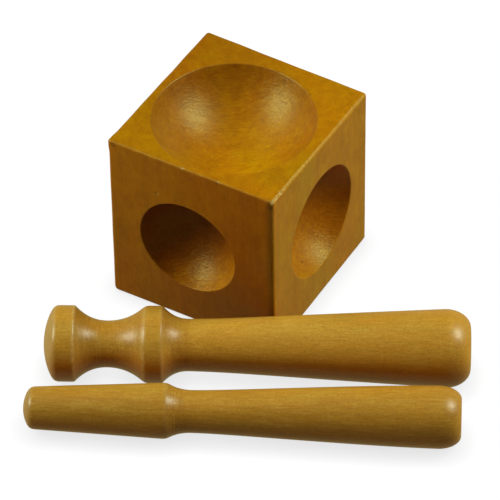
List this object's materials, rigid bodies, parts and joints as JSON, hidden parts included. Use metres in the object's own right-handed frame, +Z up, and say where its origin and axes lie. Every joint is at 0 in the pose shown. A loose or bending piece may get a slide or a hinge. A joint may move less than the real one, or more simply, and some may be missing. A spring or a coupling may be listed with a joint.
{
  "type": "dapping block set",
  "caption": "Wooden dapping block with a round bowl in every face, and turned wooden punches whose domed heads press sheet metal into the bowls.",
  "frame": {"origin": "on the bench, in the middle of the footprint of the block and its two punches", "axes": "+Z up; +X and +Y square to the block's side faces; the punches lie on the -Y side, heads towards -X"},
  "size_m": [0.1716, 0.1696, 0.0822],
  "materials": {
    "block_wood": "stained and waxed hardwood, satin",
    "punch_wood": "fine turned hardwood, clear varnish, satin"
  },
  "bodies": {
    "block": {"dapping_block": "block_wood"},
    "large_punch_body": {"large_punch": "punch_wood"},
    "small_punch_body": {"small_punch": "punch_wood"}
  },
  "joints": [
    {"name": "large_punch_lift", "type": "slide", "parent": "block", "child": "large_punch_body", "axis": [0, 0, 1], "range_m": [0, 0.15]},
    {"name": "small_punch_lift", "type": "slide", "parent": "block", "child": "small_punch_body", "axis": [0, 0, 1], "range_m": [0, 0.15]}
  ]
}
